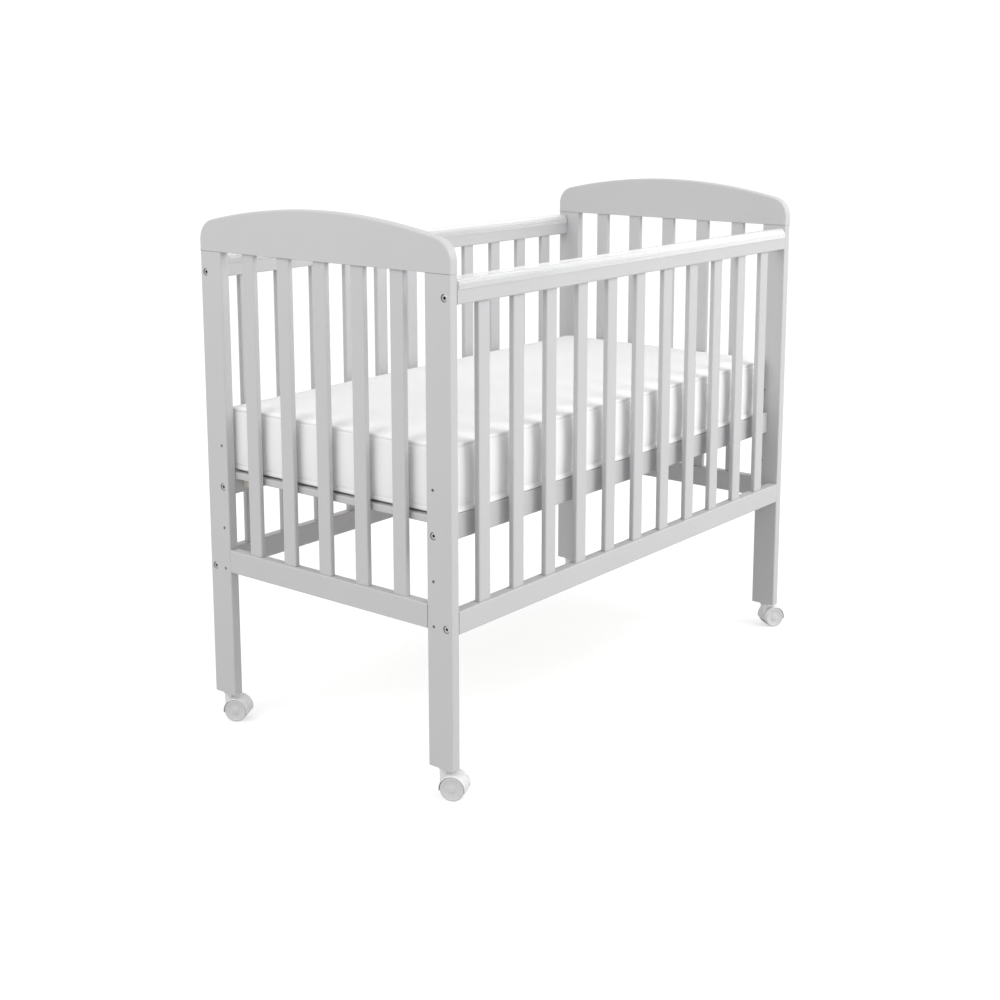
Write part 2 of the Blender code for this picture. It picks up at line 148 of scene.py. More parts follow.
# Mattress
VOXEL = 0.006
FRAMES = 20
PRESSURE = 4.0
SHRINK = Vector((0.0024, 0.0026, 0.0020))  # how far inside the CAD solid's sides and top the cloth starts
START_LIFT = 0.0003
TOP_EDGE_R = 0.0026
FOOT_EDGE_R = 0.0035
CORNER_R = 0.014
FOOT_STEPS = 4
CROWN_STEPS = 6
CORNER_TURNS = 10
MIN_CORNER_R = 0.0004
RING_ALONG = 124  # points along a long side of each ring
RING_ACROSS = 62
UNDER_RINGS = 10
SIDE_RINGS = 18
TOP_RINGS = 28
INNERMOST = 0.001  # half the width of the innermost ring
ROLL_IN = 0.0003
SEAM_FROM_TOP = 0.0081
SEAM_FROM_BOTTOM = 0.0090
SEAM_HALF_W = 0.0033
SEAM_DEPTH = 0.0014
SEAM_PEAK = 0.45  # how far above its middle a seam's valley is deepest, as a share of its half width
LOW_SEAM_SHARE = 0.5  # depth of the bottom seam, as a share of the top one's
SEAM_REACH = 0.0035  # reach of a seam's hold on the cloth
SEAM_HELD = 0.45  # cloth on which a seam weighs more than this is pinned
SEAM_CALM = 0.006  # reach of a seam's hold on the sides' slow hills
FLOOR_HELD = 0.0005  # cloth this near the underside is pinned too
PUFF = Vector((0.0022, 0.0032, 0.0036))  # most that the cloth may swell along each axis
SIDE_RISE = 0.0006  # most that the sides may rise
NEIGHBOURS = 6  # cloth vertices from which a point takes its movement
NEIGHBOUR_BLUR = 0.001  # keeps the nearest of them from counting alone
SINK_SHARE = 0.3  # share kept of a movement that goes inwards
PUFF_ZONE = (0.016, 0.012)  # how far below the top its own swell starts to come in, and over what
HILL_ZONE = (0.012, 0.008)  # the same for the top's slow hills
HILL_H = 0.0009
SIDE_HILL_H = 0.0005
SIDE_HILL_SCALE = 1.7
BROAD_HILLS = 7.0  # per metre
FINE_HILLS = 16.0
FINE_HILLS_AT = Vector((3.0, 5.0, 7.0))
FINE_SHARE = 0.45
CORD_R = 0.0006
CORD_SIDES = 10
WELD = 1e-6
LIP_H = 0.012  # height of the foot that sags over the base rail
LIP_OUT = 0.0042
LIP_DOWN = 0.0018
LIP_ZONE = (0.008, 0.006)  # how far inside the long edge the lip starts to lean out, and over what
DROOP_ZONE = (0.0015, 0.0017)  # the same for its droop

# Light: brightness of the backdrop as seen and as a light, the two floors and two softboxes
BACKDROP = 1.05
WORLD_LIGHT = 0.89
BOUNCE = 0.56  # paleness of the unseen floor
FLOOR_TONE = 0.5  # paleness of the floor that is seen, and how much it glows besides
FLOOR_GLOW = 0.58
FLOOR_SIZE = 20
UNSEEN_FLOOR_Z = -0.005
KEY = {"place": (0.9, -2.6, 2.0), "target": (0.1, -0.2, 0.45), "size": 2.0, "power": 56}
SIDE = {"place": (-2.6, 0.5, 2.3), "target": (-0.2, 0.1, 0.75), "size": 2.0, "power": 30}

# Camera, with its angles in degrees: the yaw is from +X, and the pitch is below level
SENSOR_W = 36.0
CAMERA_AT = (-2.2918, -1.7725, 1.1180)
CAMERA_YAW = 38.660
CAMERA_PITCH = 10.603
CAMERA_ROLL = -0.045
LENS_PER_SENSOR_W = 1.5747
SHIFT = (0.0002, -0.125)


# Mesh helpers


def add_piece(name, bm, material, sharp=SHARP):
    """A smooth-shaded object from a bmesh that is already in the row frame."""
    bmesh.ops.recalc_face_normals(bm, faces=bm.faces)
    mesh = bpy.data.meshes.new(name)
    bm.to_mesh(mesh)
    bm.free()
    mesh.shade_smooth()
    if sharp:
        mesh.set_sharp_from_angle(angle=math.radians(sharp))
    if material:
        mesh.materials.append(material)
    obj = bpy.data.objects.new(name, mesh)
    bpy.context.scene.collection.objects.link(obj)
    return obj


def loft(rings, capped=True):
    """Skin over rings of 3-D points, each ring closed and of the same length."""
    bm = bmesh.new()
    loops = [[bm.verts.new(point) for point in ring] for ring in rings]
    count = len(loops[0])
    for near, far in zip(loops, loops[1:]):
        for here in range(count):
            after = (here + 1) % count
            bm.faces.new((near[here], near[after], far[after], far[here]))
    if capped:
        bm.faces.new(loops[0])
        bm.faces.new(loops[-1])
    return bm


def inset(outline, amounts):
    """A counter-clockwise outline moved inwards by an amount for each point."""
    before = outline - np.roll(outline, 1, axis=0)
    after = np.roll(outline, -1, axis=0) - outline
    before /= np.linalg.norm(before, axis=1, keepdims=True)
    after /= np.linalg.norm(after, axis=1, keepdims=True)
    in_before = np.stack([-before[:, 1], before[:, 0]], axis=1)
    in_after = np.stack([-after[:, 1], after[:, 0]], axis=1)
    miter = (in_before + in_after) / (1 + (in_before * in_after).sum(axis=1, keepdims=True))
    return outline + miter * np.broadcast_to(amounts, len(outline))[:, None]


def arc(centre, radius, start, end, steps):
    """Points on an arc, with angles in degrees."""
    angles = np.radians(np.linspace(start, end, steps + 1))
    return np.stack([centre[0] + radius * np.cos(angles), centre[1] + radius * np.sin(angles)], 1)


def soften(points, rounds):
    """An open line with its corners cut, keeping its ends."""
    for _ in range(rounds):
        near = points[:-1] * 0.75 + points[1:] * 0.25
        far = points[:-1] * 0.25 + points[1:] * 0.75
        middle = np.stack([near, far], axis=1).reshape(-1, 2)
        points = np.concatenate([points[:1], middle, points[-1:]])
    return points


def lathe(profile, axis, sides):
    """A solid of revolution from (along, radius) pairs; both ends are closed by flat discs."""
    angles = np.linspace(0, math.tau, sides, endpoint=False)
    rings = []
    for along, radius in profile:
        ring = np.zeros((sides, 3))
        ring[:, axis] = along
        ring[:, (axis + 1) % 3] = radius * np.cos(angles)
        ring[:, (axis + 2) % 3] = radius * np.sin(angles)
        rings.append(ring)
    return loft(rings)


def rounded(profile_corner, radius, direction, steps=4):
    """(along, radius) pairs round an outer corner; direction is +1 where along grows towards it."""
    along, reach = profile_corner
    pairs = []
    for step in range(steps + 1):
        angle = math.pi / 2 * step / steps
        shift = radius * (1 - math.sin(angle))
        pairs.append((along - direction * radius * (1 - math.cos(angle)), reach - shift))
    return pairs


def box_bmesh(low, high):
    bm = bmesh.new()
    bmesh.ops.create_cube(bm, size=1.0)
    size = Vector(high) - Vector(low)
    bmesh.ops.transform(bm, matrix=Matrix.Diagonal((*size, 1.0)), verts=bm.verts)
    bmesh.ops.translate(bm, verts=bm.verts, vec=(Vector(low) + Vector(high)) / 2)
    return bm


def settle(obj):
    """Replaces the object's mesh by what its modifiers make of it."""
    graph = bpy.context.evaluated_depsgraph_get()
    mesh = bpy.data.meshes.new_from_object(obj.evaluated_get(graph), depsgraph=graph)
    obj.modifiers.clear()
    obj.data = mesh


def combine(obj, other_bm, operation):
    """A Boolean with a temporary shape."""
    other = add_piece("cutter", other_bm, None)
    modifier = obj.modifiers.new("combine", "BOOLEAN")
    modifier.operation = operation
    modifier.solver = "EXACT"
    modifier.object = other
    settle(obj)
    bpy.data.objects.remove(other, do_unlink=True)


def coords_of(mesh):
    flat = np.empty(len(mesh.vertices) * 3)
    mesh.vertices.foreach_get("co", flat)
    return flat.reshape(-1, 3)


def set_coords(mesh, points):
    mesh.vertices.foreach_set("co", points.reshape(-1))
    mesh.update()


def finish_piece(obj, body, nodes=()):
    """Parents a new piece to its body and hides the CAD nodes that it replaces."""
    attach(obj, body)
    if nodes:
        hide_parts(*nodes)


# Materials


class Shader:
    """One procedural material, whose patterns follow the row frame."""

    def __init__(self, name, colour, **values):
        self.material = bpy.data.materials.new(name)
        self.material.use_nodes = True
        self.tree = self.material.node_tree
        self.principled = self.tree.nodes["Principled BSDF"]
        self.principled.inputs["Base Color"].default_value = (*colour, 1.0)
        for socket, value in values.items():
            self.principled.inputs[socket.replace("_", " ")].default_value = value

    def add(self, kind, inputs=(), **settings):
        node = self.tree.nodes.new(kind)
        for key, value in settings.items():
            setattr(node, key, value)
        for socket, value in dict(inputs).items():
            if isinstance(value, bpy.types.NodeSocket):
                self.tree.links.new(value, node.inputs[socket])
            else:
                node.inputs[socket].default_value = value
        return node

    def place(self, stretch):
        coordinates = self.add("ShaderNodeTexCoord").outputs["Object"]
        mapping = self.add("ShaderNodeMapping", {"Vector": coordinates, "Scale": stretch})
        return mapping.outputs["Vector"]

    def noise(self, scale, stretch=(1.0, 1.0, 1.0), detail=2.0, roughness=0.5, distortion=0.0):
        inputs = {
            "Vector": self.place(stretch),
            "Scale": scale,
            "Detail": detail,
            "Roughness": roughness,
            "Distortion": distortion,
        }
        return self.add("ShaderNodeTexNoise", inputs).outputs["Fac"]

    def wave(self, period, direction, stretch=(1.0, 1.0, 1.0), distortion=0.0):
        """Ridges this far apart."""
        inputs = {
            "Vector": self.place(stretch),
            "Scale": math.tau / (20 * period),
            "Distortion": distortion,
        }
        made = self.add("ShaderNodeTexWave", inputs, bands_direction=direction)
        return made.outputs["Fac"]

    def math(self, operation, first, second):
        return self.add("ShaderNodeMath", {0: first, 1: second}, operation=operation).outputs[0]

    def remap(self, value, low, high, start=0.3, end=0.7):
        inputs = {"Value": value, "From Min": start, "From Max": end, "To Min": low, "To Max": high}
        return self.add("ShaderNodeMapRange", inputs).outputs["Result"]

    def colour(self, factor, first, second):
        """A mix of two colours; a colour mix has its factor at socket 0 and its colours at 6 and 7."""
        inputs = {0: factor, 6: (*first, 1.0), 7: (*second, 1.0)}
        mix = self.add("ShaderNodeMix", inputs, data_type="RGBA")
        self.tree.links.new(mix.outputs[2], self.principled.inputs["Base Color"])

    def roughness(self, value):
        self.tree.links.new(value, self.principled.inputs["Roughness"])

    def bump(self, layers):
        """Layers of (height, distance, strength), the broadest first."""
        normal = None
        for height, distance, strength in layers:
            inputs = {"Height": height, "Distance": distance, "Strength": strength}
            node = self.add("ShaderNodeBump", inputs)
            if normal:
                self.tree.links.new(normal, node.inputs["Normal"])
            normal = node.outputs["Normal"]
        self.tree.links.new(normal, self.principled.inputs["Normal"])


def scaled(colour, factor):
    return tuple(channel * factor for channel in colour)


def paint_material(name, grain_axis):
    """Satin lacquer over sprayed wood: the grain telegraphs through as faint long streaks."""
    tone = (0.530, 0.528, 0.536)
    shader = Shader(name, tone, Specular_IOR_Level=0.5)
    along = [1.0, 1.0, 1.0]
    along[grain_axis] = 0.05
    grain = shader.noise(260.0, along, detail=4.0, roughness=0.6)
    cloud = shader.noise(7.0, detail=2.0)
    blend = shader.math("MULTIPLY", shader.remap(grain, 0.0, 1.0), 0.45)
    blend = shader.math("ADD", blend, shader.math("MULTIPLY", shader.remap(cloud, 0.0, 1.0), 0.55))
    shader.colour(blend, scaled(tone, 0.985), scaled(tone, 1.012))
    shader.roughness(shader.remap(shader.noise(45.0, detail=3.0), 0.42, 0.50))
    peel = shader.noise(900.0, detail=1.0)
    shader.bump([(grain, 0.00005, 0.30), (peel, 0.000008, 0.30)])
    return shader.material


def plastic_material(name, tone, coat):
    """Moulded plastic with a faint flow pattern and a little orange peel."""
    shader = Shader(name, tone, Coat_Weight=coat, Coat_Roughness=0.12, Specular_IOR_Level=0.5)
    cloud = shader.noise(9.0, detail=2.0)
    shader.colour(shader.remap(cloud, 0.0, 1.0), scaled(tone, 0.985), scaled(tone, 1.01))
    shader.roughness(shader.remap(shader.noise(120.0, detail=2.0), 0.24, 0.32))
    shader.bump([(shader.noise(500.0, detail=1.0), 0.000006, 0.25)])
    return shader.material


def clear_material(name):
    """Clear moulded plastic: seen face on it shows the rail under it, and at a glance it turns pale,
    which is partly a milky tint and partly a painted reflection of the bright surroundings.
    """
    tone = (0.92, 0.925, 0.925)
    shader = Shader(name, tone, Alpha=0.4, Coat_Weight=0.6, Coat_Roughness=0.06)
    cloud = shader.noise(40.0, (0.2, 1.0, 1.0), detail=2.0)
    shader.colour(shader.remap(cloud, 0.0, 1.0), scaled(tone, 0.985), scaled(tone, 1.01))
    shader.roughness(shader.remap(cloud, 0.10, 0.16))
    # painted reflection: the more edge-on the cap is seen, the more its white base covers the rail,
    # standing in for the shine of clear plastic at a glance
    painted_reflection_facing = shader.add("ShaderNodeLayerWeight", {"Blend": 0.5}).outputs["Facing"]
    cover = shader.remap(painted_reflection_facing, 0.14, 0.86, 0.35, 0.85)
    shader.tree.links.new(cover, shader.principled.inputs["Alpha"])
    shader.bump([(shader.noise(30.0, (0.15, 1.0, 1.0), detail=1.0), 0.000008, 0.25)])
    return shader.material


def pine_material():
    """Bare pale softwood, with growth lines that run along the slats."""
    pale, ring = (0.74, 0.70, 0.62), (0.60, 0.53, 0.43)
    shader = Shader("bare_wood", pale)
    lines = shader.noise(70.0, (1.0, 0.05, 1.0), detail=3.0, distortion=0.6)
    pores = shader.noise(900.0, (1.0, 0.03, 1.0), detail=2.0)
    blend = shader.math("MULTIPLY", shader.remap(lines, 0.0, 1.0, 0.42, 0.72), 0.8)
    blend = shader.math("ADD", blend, shader.math("MULTIPLY", shader.remap(pores, 0.0, 1.0), 0.2))
    shader.colour(blend, pale, ring)
    shader.roughness(shader.remap(pores, 0.55, 0.75))
    shader.bump([(lines, 0.0003, 0.25), (pores, 0.0001, 0.3)])
    return shader.material


def fabric_material(name, tone):
    """Fine white knit with a soft sheen: ridges 1.4 and 1.1 mm apart, over slow unevenness."""
    shader = Shader(name, tone, Sheen_Weight=0.18, Sheen_Roughness=0.45, Specular_IOR_Level=0.25)
    cloud = shader.noise(9.0, detail=3.0)
    shader.colour(shader.remap(cloud, 0.0, 1.0), scaled(tone, 0.975), tone)
    shader.roughness(shader.remap(shader.noise(300.0, detail=2.0), 0.82, 0.95))
    across = shader.wave(0.0014, "X", distortion=0.8)
    upright = shader.math("MULTIPLY", shader.wave(0.0011, "Y", distortion=0.8), 0.5)
    level = shader.math("MULTIPLY", shader.wave(0.0011, "Z", distortion=0.8), 0.5)
    knit = shader.math("MULTIPLY", across, shader.math("ADD", upright, level))
    ripple = shader.noise(22.0, detail=2.0)
    shader.bump([(ripple, 0.0012, 0.30), (knit, 0.00012, 0.35)])
    return shader.material


def zinc_material():
    """Bright zinc plating, turned on a lathe."""
    tone = (0.80, 0.80, 0.79)
    shader = Shader("zinc_steel", tone, Metallic=1.0)
    cloud = shader.noise(500.0, detail=2.0)
    shader.colour(shader.remap(cloud, 0.0, 1.0), scaled(tone, 0.86), tone)
    shader.roughness(shader.remap(shader.noise(900.0, detail=2.0), 0.20, 0.34))
    shader.bump([(shader.noise(1800.0, detail=2.0), 0.00003, 0.25)])
    return shader.material


def socket_shade_material():
    """Painted shade for the bottom of the sockets: a near-black steel that stands in for the shadow down
    in them.
    """
    tone = (0.07, 0.07, 0.07)
    shader = Shader("socket_painted_shade", tone, Metallic=0.6)
    # the painted shade varies a little at random in tone and roughness
    shade_mottle = shader.noise(1200.0, detail=2.0)
    shader.colour(shader.remap(shade_mottle, 0.0, 1.0), scaled(tone, 0.6), tone)
    shader.roughness(shader.remap(shade_mottle, 0.5, 0.7))
    return shader.material


# End panels


def board_outline(low, high):
    """The arched board seen along X, counter-clockwise, with the round of each point's edge."""
    middle_y = (low.y + high.y) / 2
    half = (high.y - low.y) / 2
    arch_z = high.z - ARCH_R
    corner_y = half - ARCH_CORNER_R
    corner_z = arch_z + math.sqrt((ARCH_R - ARCH_CORNER_R) ** 2 - corner_y**2)
    meet = math.degrees(math.atan2(corner_z - arch_z, corner_y))
    above = low.z + FOOT_H
    foot = [(-half, above), (-half, low.z), (half, low.z), (half, above)]
    right = arc((corner_y, corner_z), ARCH_CORNER_R, 0, meet, CORNER_STEPS)
    top = arc((0, arch_z), ARCH_R, meet, 180 - meet, ARCH_STEPS)[1:-1]
    left = arc((-corner_y, corner_z), ARCH_CORNER_R, 180 - meet, 180, CORNER_STEPS)
    outline = np.concatenate([foot, right, top, left])
    rounds = np.where(outline[:, 1] < low.z + FOOT_H / 2, FOOT_R, RIM_R)
    outline[:, 0] += middle_y
    return outline, rounds


def add_arched_board(end, paint):
    node = f"{end}_end_top_board"
    low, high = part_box(node)
    outline, rounds = board_outline(low, high)
    half = (high.x - low.x) / 2
    middle_x = (low.x + high.x) / 2
    side = [(np.full(len(rounds), half), rounds + SUPPORT)]
    for step in range(RIM_STEPS + 1):
        angle = math.pi / 2 * step / RIM_STEPS
        side.append((half - rounds * (1 - math.cos(angle)), rounds * (1 - math.sin(angle))))
    rings = []
    for sign, steps in ((-1, side), (1, reversed(side))):
        for offset, amount in steps:
            shape = inset(outline, amount)
            rings.append(np.column_stack([middle_x + sign * offset, shape]))
    board = add_piece(f"{end}_arched_board", loft(rings), paint)
    finish_piece(board, "crib_frame", [node])


# Bolt heads


def hexagon(flat, sides):
    """Radius of a hexagon at each of the angles of a ring with this many sides."""
    angles = np.linspace(0, math.tau, sides, endpoint=False)
    return flat / np.cos((angles + math.pi / 6) % (math.pi / 3) - math.pi / 6)


def bolt_head_bmesh(centre, end):
    """A low cylinder head with a soft rim and a hexagon socket, facing outwards along X."""
    angles = np.linspace(0, math.tau, HEAD_SIDES, endpoint=False)
    round_ring = np.ones(HEAD_SIDES)
    socket = hexagon(SOCKET_FLAT, HEAD_SIDES)
    steps = [(height, radius * round_ring) for height, radius in HEAD_PROFILE]
    steps += [(height, socket + margin) for height, margin in SOCKET_PROFILE]
    rings = []
    for height, radius in steps:
        ring = np.zeros((HEAD_SIDES, 3))
        ring[:, 0] = centre.x + end * height
        ring[:, 1] = centre.y + radius * np.cos(angles)
        ring[:, 2] = centre.z + radius * np.sin(angles)
        rings.append(ring)
    return loft(rings)


def paint_socket_shade(head, centre, socket_shade):
    """Paints shade in the socket: its faces deeper than the zinc get the near-black material, which
    stands in for the shadow down in the socket.
    """
    head.data.materials.append(socket_shade)
    for face in head.data.polygons:
        away = face.center - centre
        # painted shade: the deep faces of the socket take the second, near-black material
        if math.hypot(away.y, away.z) < SOCKET_CORNER_R and abs(away.x) > SOCKET_SHADE_DEPTH:
            face.material_index = 1


def add_bolt_heads(metal, socket_shade):
    for end_name, end, face in (("left", -1, OUTER_LOW.x), ("right", 1, OUTER_HIGH.x)):
        for side_name, side, edge in (("front", -1, OUTER_LOW.y), ("rear", 1, OUTER_HIGH.y)):
            x = face - end * HEAD_SINK
            places = {key: (edge - side * SIDE_BOLT_IN, z) for key, z in SIDE_BOLT_ZS.items()}
            places["base"] = (edge - side * BASE_BOLT_IN, BASE_BOLT_Z)
            for key, (y, z) in places.items():
                centre = Vector((x, y, LEG_Z + z))
                bm = bolt_head_bmesh(centre, end)
                head = add_piece(f"bolt_head_{end_name}_{side_name}_{key}", bm, metal)
                paint_socket_shade(head, centre, socket_shade)
                finish_piece(head, "crib_frame")


# Teething rails


def teething_outline(middle_y, lip_z, crest_z):
    """The moulded cap's section, seen along X: skirt, bead and crown outside, an inverted U inside."""
    rise = (crest_z - lip_z) / CAP_DRAWN_H
    outer = np.array(
        [
            (0.0113, 0.0000),
            (0.0122, 0.0004),
            (0.0123, 0.0030),
            (0.0122, 0.0049),
            (0.0116, 0.0053),
            (0.0118, 0.0059),
            (0.0122, 0.0075),
            (0.0117, 0.0102),
            (0.0103, 0.0122),
            (0.0097, 0.0127),
            (0.0097, 0.0135),
            (0.0088, 0.0159),
            (0.0060, 0.0181),
            (0.0028, 0.0190),
        ]
    )
    outer = soften(outer, 2)
    corner = (CAP_INNER_HALF_W - CAP_INNER_R, CAP_INNER_TOP - CAP_INNER_R)
    inner = arc(corner, CAP_INNER_R, 0, 90, CAP_INNER_STEPS)
    right_in = np.concatenate([[(CAP_INNER_HALF_W, 0.0)], inner])
    mirrored = outer[::-1] * (-1, 1)
    left_in = right_in * (-1, 1)
    outline = np.concatenate([outer, mirrored, left_in, right_in[::-1]])
    outline[:, 1] = outline[:, 1] * rise + lip_z
    outline[:, 0] += middle_y
    return outline


def add_teething_cap(side, plastic):
    node = f"{side}_teething_rail"
    low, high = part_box(node)
    outline = teething_outline((low.y + high.y) / 2, low.z, high.z)
    rings = []
    for offset, amount in CAP_END:
        shape = inset(outline, amount)
        rings.append(np.column_stack([np.full(len(shape), low.x + offset), shape]))
    for offset, amount in reversed(CAP_END):
        shape = inset(outline, amount)
        rings.append(np.column_stack([np.full(len(shape), high.x - offset), shape]))
    cap = add_piece(f"{side}_teething_cap", loft(rings), plastic, sharp=CAP_SHARP)
    finish_piece(cap, "crib_frame", [node])


# Castors


def joint(name):
    return next(item for item in frame["joints"] if item["name"] == name)


def castor_matrix(corner):
    """From a castor's own frame, with its stem on Z and its axle along Y, to the row frame."""
    stem = Vector(joint(f"{corner}_castor_swivel")["pos_m"])
    axle = Vector(joint(f"{corner}_castor_spin")["pos_m"])
    heading = math.atan2(axle.y - stem.y, axle.x - stem.x)
    place = Matrix.Translation((stem.x, stem.y, 0.0)) @ Matrix.Rotation(heading, 4, "Z")
    trail = math.hypot(axle.x - stem.x, axle.y - stem.y)
    return place, trail


def shifted(bm, offset):
    bmesh.ops.translate(bm, verts=bm.verts, vec=offset)
    return bm


def hood_piece(name, trail, plastic):
    """A twin-wheel castor's hood: a thin drum over both wheels, a middle web, a collar and a stem."""
    axle = (trail, 0, WHEEL_R)
    edge = rounded((HOOD_HALF_W, HOOD_R), HOOD_EDGE_R, 1)
    drum = [(-along, radius) for along, radius in edge] + list(reversed(edge))
    hood = add_piece(name, shifted(lathe(drum, 1, ROUND_SIDES), axle), plastic)
    collar = [(WHEEL_R, COLLAR_R)]
    collar += [(COLLAR_TOP_Z - down, COLLAR_R + out) for down, out in COLLAR_FLARE]
    collar += [(COLLAR_TOP_Z, STEM_R), (STEM_TOP_Z - STEM_TIP_H, STEM_R), (STEM_TOP_Z, STEM_TIP_R)]
    combine(hood, lathe(collar, 2, ROUND_SIDES // 2), "UNION")
    for side in (-1, 1):
        reach = HOOD_R - HOOD_WALL
        well = [(side * WEB_HALF_T, reach), (side * 2 * HOOD_HALF_W, reach)]
        combine(hood, shifted(lathe(well, 1, ROUND_SIDES), axle), "DIFFERENCE")
    low = (trail - 3 * HOOD_R, -3 * HOOD_R, -HOOD_FOOT_Z)
    high = (trail + 3 * HOOD_R, 3 * HOOD_R, HOOD_FOOT_Z)
    combine(hood, box_bmesh(low, high), "DIFFERENCE")
    hole = [(-2 * WEB_HALF_T, AXLE_HOLE_R), (2 * WEB_HALF_T, AXLE_HOLE_R)]
    combine(hood, shifted(lathe(hole, 1, AXLE_HOLE_SIDES), axle), "DIFFERENCE")
    return hood


def wheel_pair_bmesh(trail):
    """Two wheels on one axle: each face has a fine rim, a shallow dish and a hub cap."""
    half = [(WHEEL_FACE - sunk, WHEEL_R * share) for sunk, share in WHEEL_DISH]
    half += [(WHEEL_FACE, WHEEL_R - TREAD_R)]
    half += [(WHEEL_FACE - inwards, radius) for inwards, radius in tread_round()]
    half += [(WHEEL_INNER + out, WHEEL_R - lower) for out, lower in WHEEL_INNER_EDGE]
    half += [(WHEEL_INNER, AXLE_R)]
    profile = [(-along, radius) for along, radius in half] + list(reversed(half))
    return shifted(lathe(profile, 1, ROUND_SIDES), (trail, 0, WHEEL_R))


def tread_round():
    """(inwards, radius) pairs round the tread's outer shoulder."""
    pairs = []
    for step in range(1, TREAD_STEPS + 1):
        angle = math.pi / 2 * step / TREAD_STEPS
        pairs.append((TREAD_R * (1 - math.cos(angle)), WHEEL_R - TREAD_R * (1 - math.sin(angle))))
    return pairs


def add_castor(corner, plastic, tread):
    place, trail = castor_matrix(corner)
    hood = hood_piece(f"{corner}_hood", trail, plastic)
    hood.data.transform(place)
    hood.data.shade_smooth()
    hood.data.set_sharp_from_angle(angle=math.radians(SHARP))
    finish_piece(hood, f"{corner}_castor_hood", [f"{corner}_castor_hood"])
    wheels = add_piece(f"{corner}_wheel_pair", wheel_pair_bmesh(trail), tread)
    wheels.data.transform(place)
    finish_piece(wheels, f"{corner}_castor_wheels", [f"{corner}_castor_wheels"])


# Mattress


def plan_ring(low, high, inwards, z):
    """One level of the mattress: a rounded rectangle this far inside its start size."""
    centre = (low + high) / 2
    half = (high - low) / 2 - SHRINK
    corner = max(CORNER_R - inwards, MIN_CORNER_R)
    reach_x = half.x - inwards - corner
    reach_y = max(half.y - inwards - corner, 0.0)
    across = np.linspace(-reach_y, reach_y, RING_ACROSS)[1:-1]
    along = np.linspace(-reach_x, reach_x, RING_ALONG)[1:-1]
    wide, deep = reach_x + corner, reach_y + corner
    loop = [
        np.column_stack([np.full(len(across), wide), across]),
        arc((reach_x, reach_y), corner, 0, 90, CORNER_TURNS),
        np.column_stack([along[::-1], np.full(len(along), deep)]),
        arc((-reach_x, reach_y), corner, 90, 180, CORNER_TURNS),
        np.column_stack([np.full(len(across), -wide), across[::-1]]),
        arc((-reach_x, -reach_y), corner, 180, 270, CORNER_TURNS),
        np.column_stack([along, np.full(len(along), -deep)]),
        arc((reach_x, -reach_y), corner, 270, 360, CORNER_TURNS),
    ]
    loop = np.concatenate(loop) + (centre.x, centre.y)
    return np.column_stack([loop, np.full(len(loop), z)])


def foot_levels(floor):
    """(inwards, height) round the bottom edge."""
    levels = []
    for step in range(FOOT_STEPS + 1):
        angle = math.pi / 2 * step / FOOT_STEPS
        inwards = FOOT_EDGE_R * (1 - math.sin(angle))
        levels.append((inwards, floor + FOOT_EDGE_R * (1 - math.cos(angle))))
    return levels


def crown_levels(top, deepest):
    """(inwards, height) round the top edge."""
    levels = []
    for step in range(CROWN_STEPS + 1):
        angle = math.pi / 2 * step / CROWN_STEPS
        inwards = deepest + TOP_EDGE_R * (1 - math.cos(angle))
        levels.append((inwards, top - TOP_EDGE_R * (1 - math.sin(angle))))
    return levels


def groove_levels(middle, depth, half_width):
    """(inwards, height) across a sewn seam: a soft valley, steeper above than below."""
    levels = []
    for share in (-1.0, -0.72, -0.45, -0.2, 0.0, 0.18, 0.32, 0.45, 0.58, 0.72, 0.86, 1.0):
        away = (share - SEAM_PEAK) / (1 - SEAM_PEAK if share > SEAM_PEAK else 1 + SEAM_PEAK)
        fall = 0.5 + 0.5 * math.cos(math.pi * away)
        levels.append((depth * fall**1.3, middle + half_width * share))
    return levels


def cover_levels(low, high):
    """(inwards, height) from the middle of the underside, up the side, to the middle of the top."""
    floor, top = low.z + START_LIFT, high.z - SHRINK.z
    widest = (high.y - low.y) / 2 - SHRINK.y - INNERMOST
    under = [(inwards, floor) for inwards in np.geomspace(widest, FOOT_EDGE_R * 1.6, UNDER_RINGS)]
    low_seam, high_seam = low.z + SEAM_FROM_BOTTOM, high.z - SEAM_FROM_TOP
    side_z = np.linspace(low_seam + SEAM_HALF_W, high_seam - SEAM_HALF_W, SIDE_RINGS)[1:-1]
    levels = under + foot_levels(floor)
    levels += groove_levels(low_seam, SEAM_DEPTH * LOW_SEAM_SHARE, SEAM_HALF_W)
    levels += [(0.0, z) for z in side_z]
    levels += groove_levels(high_seam, SEAM_DEPTH, SEAM_HALF_W)
    levels += crown_levels(top, ROLL_IN)
    over = TOP_EDGE_R + ROLL_IN
    levels += [(inwards, top) for inwards in np.linspace(over, widest, TOP_RINGS)[1:]]
    return levels


def start_shape(low, high):
    """A plain block with rounded edges, evenly meshed, which the cloth simulation fills."""
    floor, top = low.z + START_LIFT, high.z - SHRINK.z
    levels = foot_levels(floor) + crown_levels(top, 0.0)
    rings = [plan_ring(low, high, inwards, z) for inwards, z in levels]
    obj = add_piece("mattress_cloth", loft(rings), None, sharp=0)
    modifier = obj.modifiers.new("even", "REMESH")
    modifier.mode = "VOXEL"
    modifier.voxel_size = VOXEL
    settle(obj)
    return obj


def seam_weight(points, low, high, reach):
    """1 on the two seams round the mattress, falling off as a bell, to 0.37 at this reach."""
    deepest = SEAM_PEAK * SEAM_HALF_W
    to_top = np.abs(points[:, 2] - (high.z - SEAM_FROM_TOP + deepest))
    to_bottom = np.abs(points[:, 2] - (low.z + SEAM_FROM_BOTTOM + deepest))
    return np.exp(-((np.minimum(to_top, to_bottom) / reach) ** 2))


